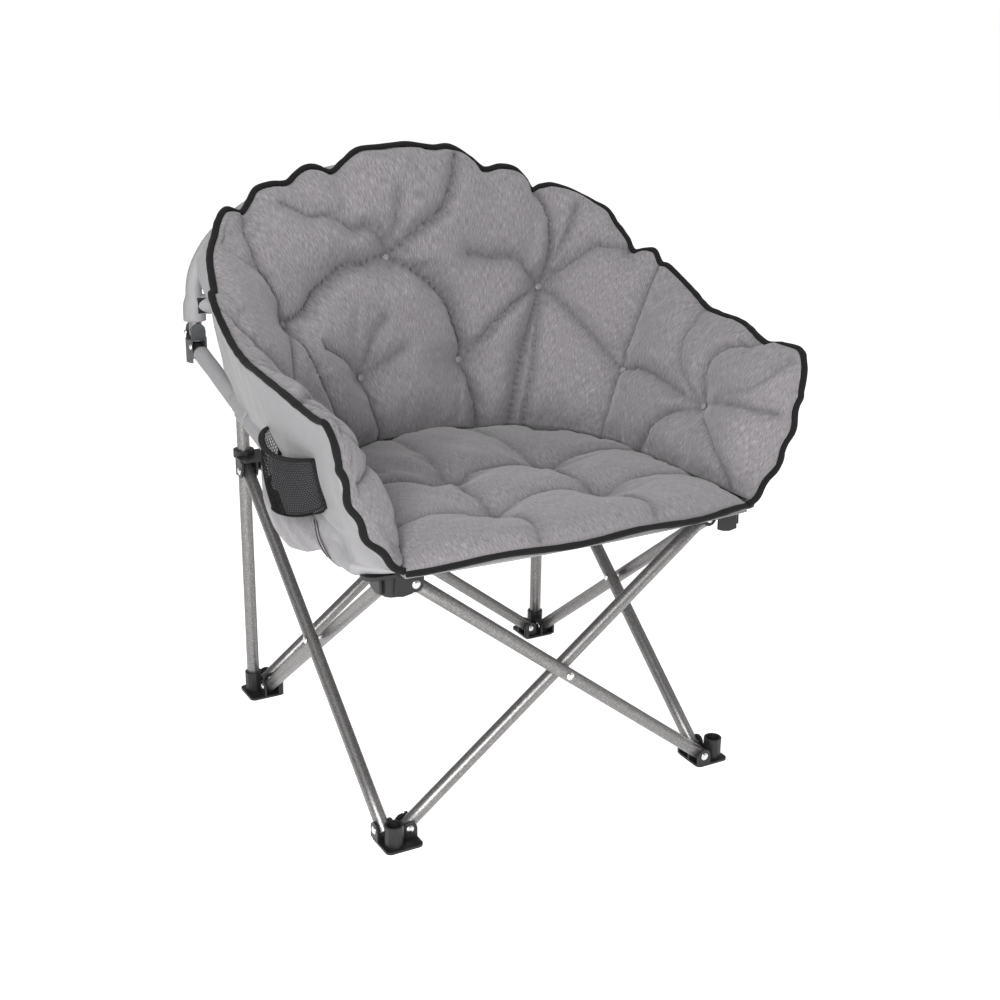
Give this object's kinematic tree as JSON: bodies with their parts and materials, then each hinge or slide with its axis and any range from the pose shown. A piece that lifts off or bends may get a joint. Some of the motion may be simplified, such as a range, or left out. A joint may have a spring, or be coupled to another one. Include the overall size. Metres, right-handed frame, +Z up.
{
  "type": "folding saucer chair",
  "caption": "Folding camp chair with a round padded bucket, four crossed tube pairs, a hinged back hoop, side rails and a mesh cup holder.",
  "frame": {"origin": "on the floor, on the chair's plane of symmetry, midway between the front and the back of its box; the cup holder on one side puts the box's own middle 5 mm off that plane", "axes": "+Z up; the chair faces -Y; left in the names means -X, the left side as seen from the front"},
  "size_m": [0.7457, 0.6582, 0.8373],
  "materials": {
    "tube_steel": "silver grey hammered powder coat, satin",
    "rivet_steel": "bright zinc plated, smooth",
    "black_plastic": "black moulded, fine grain, satin",
    "grey_plastic": "dark grey moulded, satin",
    "heather_fabric": "heather grey melange weave, matt",
    "shell_fabric": "smooth light grey woven polyester, slight sheen",
    "mesh_fabric": "black open mesh with a bound rim"
  },
  "bodies": {
    "rear_left_leg": {"rear_left_foot": "black_plastic", "rear_left_post": "tube_steel", "rear_left_foot_inner_rivet": "rivet_steel", "rear_left_foot_outer_rivet": "rivet_steel"},
    "rear_outer_tube": {"rear_outer_tube": "tube_steel", "rear_cross_rivet": "rivet_steel"},
    "rear_inner_tube": {"rear_inner_tube": "tube_steel"},
    "rear_right_leg": {"rear_right_foot": "black_plastic", "rear_right_post": "tube_steel", "rear_right_foot_inner_rivet": "rivet_steel", "rear_right_foot_outer_rivet": "rivet_steel"},
    "rear_left_slider": {"rear_left_slider": "black_plastic", "rear_left_top_inner_rivet": "rivet_steel", "rear_left_top_outer_rivet": "rivet_steel"},
    "rear_right_slider": {"rear_right_slider": "black_plastic", "rear_right_top_inner_rivet": "rivet_steel", "rear_right_top_outer_rivet": "rivet_steel"},
    "left_inner_tube": {"left_inner_tube": "tube_steel", "left_cross_rivet": "rivet_steel"},
    "left_outer_tube": {"left_outer_tube": "tube_steel"},
    "front_left_foot": {"front_left_foot": "black_plastic", "front_left_foot_inner_rivet": "rivet_steel", "front_left_foot_outer_rivet": "rivet_steel"},
    "front_left_bracket": {"front_left_bracket": "black_plastic", "front_left_top_inner_rivet": "rivet_steel", "front_left_top_outer_rivet": "rivet_steel"},
    "front_inner_tube": {"front_inner_tube": "tube_steel", "front_cross_rivet": "rivet_steel"},
    "front_outer_tube": {"front_outer_tube": "tube_steel"},
    "front_right_foot": {"front_right_foot": "black_plastic", "front_right_foot_inner_rivet": "rivet_steel", "front_right_foot_outer_rivet": "rivet_steel"},
    "right_outer_tube": {"right_outer_tube": "tube_steel", "right_cross_rivet": "rivet_steel"},
    "right_inner_tube": {"right_inner_tube": "tube_steel"},
    "front_right_bracket": {"front_right_bracket": "black_plastic", "front_right_top_inner_rivet": "rivet_steel", "front_right_top_outer_rivet": "rivet_steel"},
    "left_hoop": {"left_hoop": "tube_steel", "left_hoop_clamp": "black_plastic"},
    "right_hoop": {"right_hoop": "tube_steel", "right_hoop_clamp": "black_plastic"},
    "hoop_top_hinge": {"hoop_top_hinge": "grey_plastic"},
    "left_side_hinge": {"left_side_hinge": "grey_plastic"},
    "right_side_hinge": {"right_side_hinge": "grey_plastic"},
    "left_side_rail": {"left_side_rail": "tube_steel"},
    "right_side_rail": {"right_side_rail": "tube_steel"},
    "back_cover": {"back_pad": "heather_fabric", "back_shell": "shell_fabric"},
    "left_arm_cover": {"left_arm_pad": "heather_fabric", "left_arm_shell": "shell_fabric", "cup_holder": "mesh_fabric", "side_pouch": "heather_fabric"},
    "right_arm_cover": {"right_arm_pad": "heather_fabric", "right_arm_shell": "shell_fabric"},
    "seat_front_cover": {"seat_front_pad": "heather_fabric", "seat_front_shell": "shell_fabric"},
    "seat_rear_cover": {"seat_rear_pad": "heather_fabric", "seat_rear_shell": "shell_fabric"}
  },
  "joints": [
    {"name": "fold", "type": "hinge", "parent": "rear_left_leg", "child": "rear_outer_tube", "pos_m": [-0.234, 0.28939, 0.0165], "axis": [0, -1, 0], "range_deg": [0, 34], "deforming": ["back_pad", "back_shell", "left_arm_pad", "left_arm_shell", "right_arm_pad", "right_arm_shell", "cup_holder", "side_pouch", "seat_front_pad", "seat_front_shell", "seat_rear_pad", "seat_rear_shell"]},
    {"name": "rear_cross", "type": "hinge", "parent": "rear_outer_tube", "child": "rear_inner_tube", "pos_m": [0, 0.27819, 0.1985], "axis": [0, 1, 0], "range_deg": [0, 68]},
    {"name": "rear_right_leg_pivot", "type": "hinge", "parent": "rear_inner_tube", "child": "rear_right_leg", "pos_m": [0.234, 0.26699, 0.0165], "axis": [0, -1, 0], "range_deg": [0, 34]},
    {"name": "rear_left_slider_pivot", "type": "hinge", "parent": "rear_inner_tube", "child": "rear_left_slider", "pos_m": [-0.234, 0.26699, 0.3805], "axis": [0, -1, 0], "range_deg": [0, 34]},
    {"name": "rear_right_slider_pivot", "type": "hinge", "parent": "rear_outer_tube", "child": "rear_right_slider", "pos_m": [0.234, 0.28939, 0.3805], "axis": [0, 1, 0], "range_deg": [0, 34]},
    {"name": "left_inner_pivot", "type": "hinge", "parent": "rear_left_leg", "child": "left_inner_tube", "pos_m": [-0.2418, 0.25919, 0.0165], "axis": [-1, 0, 0], "range_deg": [0, 34]},
    {"name": "left_cross", "type": "hinge", "parent": "left_inner_tube", "child": "left_outer_tube", "pos_m": [-0.253, 0.02519, 0.1985], "axis": [1, 0, 0], "range_deg": [0, 68]},
    {"name": "front_left_foot_pivot", "type": "hinge", "parent": "left_outer_tube", "child": "front_left_foot", "pos_m": [-0.2642, -0.20881, 0.0165], "axis": [-1, 0, 0], "range_deg": [0, 34]},
    {"name": "front_left_bracket_pivot", "type": "hinge", "parent": "left_inner_tube", "child": "front_left_bracket", "pos_m": [-0.2418, -0.20881, 0.3805], "axis": [1, 0, 0], "range_deg": [0, 34]},
    {"name": "front_inner_pivot", "type": "hinge", "parent": "front_left_foot", "child": "front_inner_tube", "pos_m": [-0.234, -0.21661, 0.0165], "axis": [0, -1, 0], "range_deg": [0, 34]},
    {"name": "front_cross", "type": "hinge", "parent": "front_inner_tube", "child": "front_outer_tube", "pos_m": [0, -0.22781, 0.1985], "axis": [0, 1, 0], "range_deg": [0, 68]},
    {"name": "front_right_foot_pivot", "type": "hinge", "parent": "front_outer_tube", "child": "front_right_foot", "pos_m": [0.234, -0.23901, 0.0165], "axis": [0, -1, 0], "range_deg": [0, 34]},
    {"name": "right_outer_pivot", "type": "hinge", "parent": "rear_right_leg", "child": "right_outer_tube", "pos_m": [0.2642, 0.25919, 0.0165], "axis": [-1, 0, 0], "range_deg": [0, 34]},
    {"name": "right_cross", "type": "hinge", "parent": "right_outer_tube", "child": "right_inner_tube", "pos_m": [0.253, 0.02519, 0.1985], "axis": [1, 0, 0], "range_deg": [0, 68]},
    {"name": "front_right_bracket_pivot", "type": "hinge", "parent": "right_outer_tube", "child": "front_right_bracket", "pos_m": [0.2642, -0.20881, 0.3805], "axis": [1, 0, 0], "range_deg": [0, 34]},
    {"name": "left_hoop_pivot", "type": "hinge", "parent": "rear_left_leg", "child": "left_hoop", "pos_m": [-0.26, 0.29869, 0.629], "axis": [0, -1, 0], "range_deg": [0, 34]},
    {"name": "right_hoop_pivot", "type": "hinge", "parent": "rear_right_leg", "child": "right_hoop", "pos_m": [0.26, 0.29869, 0.629], "axis": [0, 1, 0], "range_deg": [0, 34]},
    {"name": "hoop_top_pivot", "type": "hinge", "parent": "left_hoop", "child": "hoop_top_hinge", "pos_m": [-0.026, 0.31319, 0.811], "axis": [0, 1, 0], "range_deg": [0, 34]},
    {"name": "left_side_hinge_pivot", "type": "hinge", "parent": "left_hoop", "child": "left_side_hinge", "pos_m": [-0.316, 0.31319, 0.591], "axis": [0, 1, 0], "range_deg": [0, 34]},
    {"name": "right_side_hinge_pivot", "type": "hinge", "parent": "right_hoop", "child": "right_side_hinge", "pos_m": [0.316, 0.31319, 0.591], "axis": [0, -1, 0], "range_deg": [0, 34]},
    {"name": "left_rail_pivot", "type": "hinge", "parent": "left_side_hinge", "child": "left_side_rail", "pos_m": [-0.316, 0.31319, 0.563], "axis": [0.9995, 0.0314, 0], "range_deg": [0, 74.12]},
    {"name": "right_rail_pivot", "type": "hinge", "parent": "right_side_hinge", "child": "right_side_rail", "pos_m": [0.316, 0.31319, 0.563], "axis": [0.9995, -0.0314, 0], "range_deg": [0, 74.12]},
    {"name": "back_cover_lean", "type": "hinge", "parent": "hoop_top_hinge", "child": "back_cover", "pos_m": [0, 0.31319, 0.811], "axis": [-1, 0, 0], "range_deg": [0, 3.4]},
    {"name": "left_arm_cover_swing", "type": "hinge", "parent": "left_side_hinge", "child": "left_arm_cover", "pos_m": [-0.316, 0.31319, 0.563], "axis": [0, 0, 1], "range_deg": [0, 3.4]},
    {"name": "right_arm_cover_swing", "type": "hinge", "parent": "right_side_hinge", "child": "right_arm_cover", "pos_m": [0.316, 0.31319, 0.563], "axis": [0, 0, -1], "range_deg": [0, 3.4]},
    {"name": "seat_front_swing", "type": "hinge", "parent": "front_left_bracket", "child": "seat_front_cover", "pos_m": [-0.26, -0.27481, 0.396], "axis": [-1, 0, 0], "range_deg": [0, 78.2]},
    {"name": "seat_rear_swing", "type": "hinge", "parent": "rear_left_slider", "child": "seat_rear_cover", "pos_m": [-0.26, 0.20519, 0.396], "axis": [1, 0, 0], "range_deg": [0, 78.2]}
  ],
  "couplings": [
    {"joint": "rear_cross", "follows": "fold", "ratio": 2},
    {"joint": "rear_right_leg_pivot", "follows": "fold", "ratio": 1},
    {"joint": "rear_left_slider_pivot", "follows": "fold", "ratio": 1},
    {"joint": "rear_right_slider_pivot", "follows": "fold", "ratio": 1},
    {"joint": "left_inner_pivot", "follows": "fold", "ratio": 1},
    {"joint": "left_cross", "follows": "fold", "ratio": 2},
    {"joint": "front_left_foot_pivot", "follows": "fold", "ratio": 1},
    {"joint": "front_left_bracket_pivot", "follows": "fold", "ratio": 1},
    {"joint": "front_inner_pivot", "follows": "fold", "ratio": 1},
    {"joint": "front_cross", "follows": "fold", "ratio": 2},
    {"joint": "front_right_foot_pivot", "follows": "fold", "ratio": 1},
    {"joint": "right_outer_pivot", "follows": "fold", "ratio": 1},
    {"joint": "right_cross", "follows": "fold", "ratio": 2},
    {"joint": "front_right_bracket_pivot", "follows": "fold", "ratio": 1},
    {"joint": "left_hoop_pivot", "follows": "fold", "ratio": 1},
    {"joint": "right_hoop_pivot", "follows": "fold", "ratio": 1},
    {"joint": "hoop_top_pivot", "follows": "fold", "ratio": 1},
    {"joint": "left_side_hinge_pivot", "follows": "fold", "ratio": 1},
    {"joint": "right_side_hinge_pivot", "follows": "fold", "ratio": 1},
    {"joint": "left_rail_pivot", "follows": "fold", "ratio": 2.18},
    {"joint": "right_rail_pivot", "follows": "fold", "ratio": 2.18},
    {"joint": "back_cover_lean", "follows": "fold", "ratio": 0.1},
    {"joint": "left_arm_cover_swing", "follows": "fold", "ratio": 0.1},
    {"joint": "right_arm_cover_swing", "follows": "fold", "ratio": 0.1},
    {"joint": "seat_front_swing", "follows": "fold", "ratio": 2.3},
    {"joint": "seat_rear_swing", "follows": "fold", "ratio": 2.3}
  ]
}
